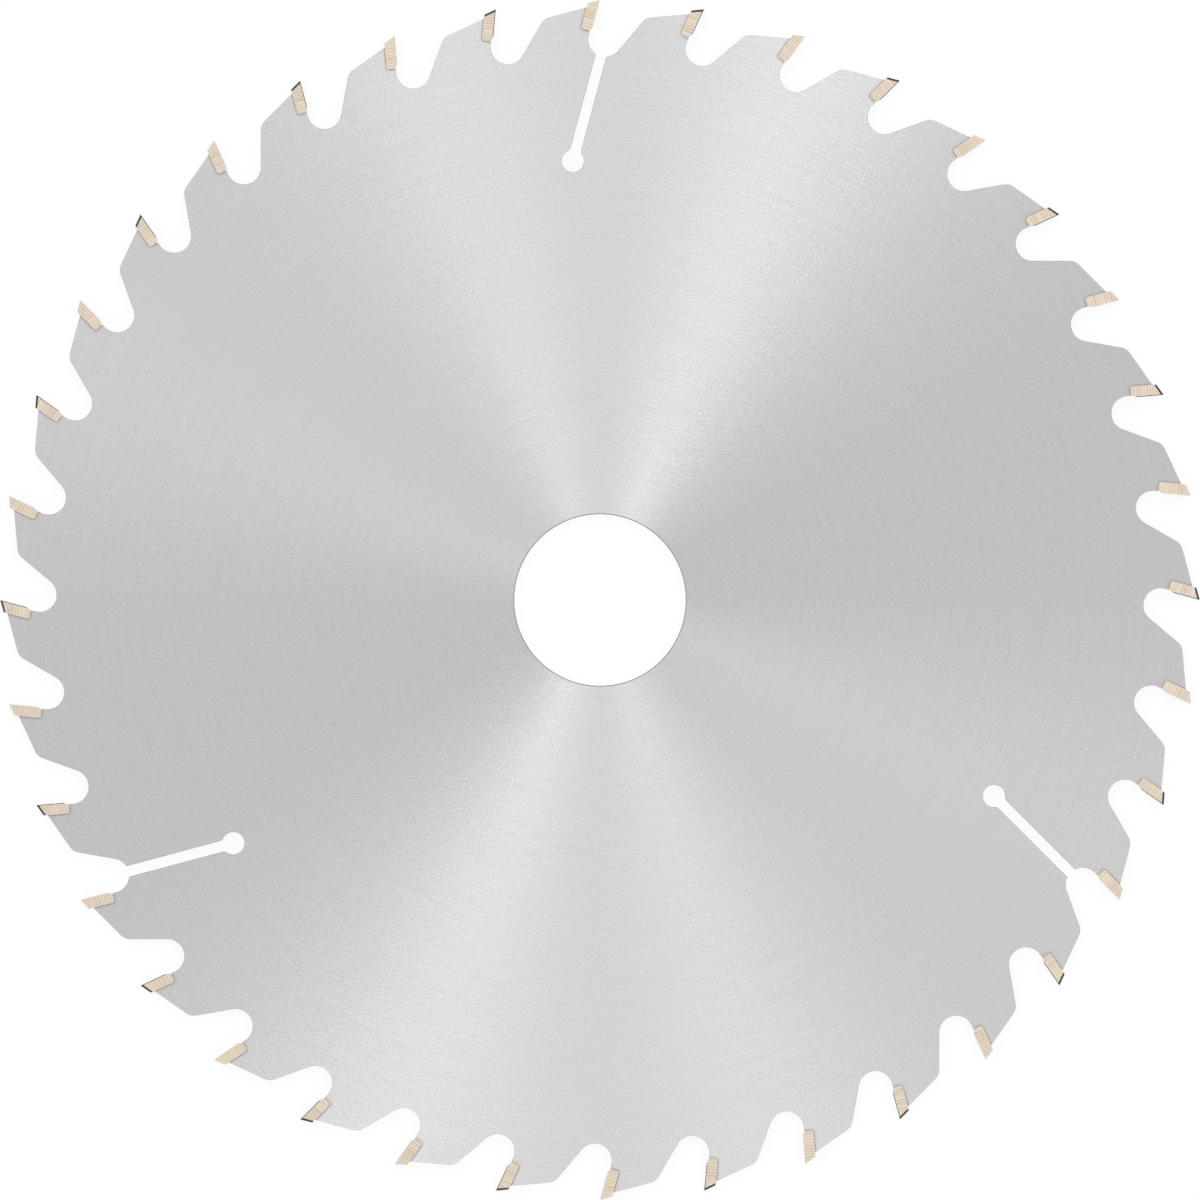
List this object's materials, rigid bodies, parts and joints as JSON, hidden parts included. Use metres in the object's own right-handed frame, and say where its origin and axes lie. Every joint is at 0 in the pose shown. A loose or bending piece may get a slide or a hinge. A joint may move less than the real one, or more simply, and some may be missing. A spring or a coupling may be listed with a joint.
{
  "type": "tct circular saw blade",
  "caption": "Flat round steel saw blade with a plain centre bore, expansion slots and brazed carbide tips ground with alternate bevels, for cutting wood on a circular saw.",
  "frame": {"origin": "centre of the bore, at half the thickness of the plate", "axes": "+Z along the arbor's axis, towards the side from which the teeth point clockwise; +Y through the point of tip_01"},
  "size_m": [0.21, 0.21, 0.0024],
  "materials": {
    "plate_steel": "satin",
    "carbide": "ground",
    "braze": "satin"
  },
  "bodies": {
    "root": {"blade_plate": "plate_steel", "braze_seams": "braze", "tip_01": "carbide", "tip_02": "carbide", "tip_03": "carbide", "tip_04": "carbide", "tip_05": "carbide", "tip_06": "carbide", "tip_07": "carbide", "tip_08": "carbide", "tip_09": "carbide", "tip_10": "carbide", "tip_11": "carbide", "tip_12": "carbide", "tip_13": "carbide", "tip_14": "carbide", "tip_15": "carbide", "tip_16": "carbide", "tip_17": "carbide", "tip_18": "carbide", "tip_19": "carbide", "tip_20": "carbide", "tip_21": "carbide", "tip_22": "carbide", "tip_23": "carbide", "tip_24": "carbide", "tip_25": "carbide", "tip_26": "carbide", "tip_27": "carbide", "tip_28": "carbide", "tip_29": "carbide", "tip_30": "carbide", "tip_31": "carbide", "tip_32": "carbide", "tip_33": "carbide", "tip_34": "carbide", "tip_35": "carbide", "tip_36": "carbide"}
  },
  "joints": []
}
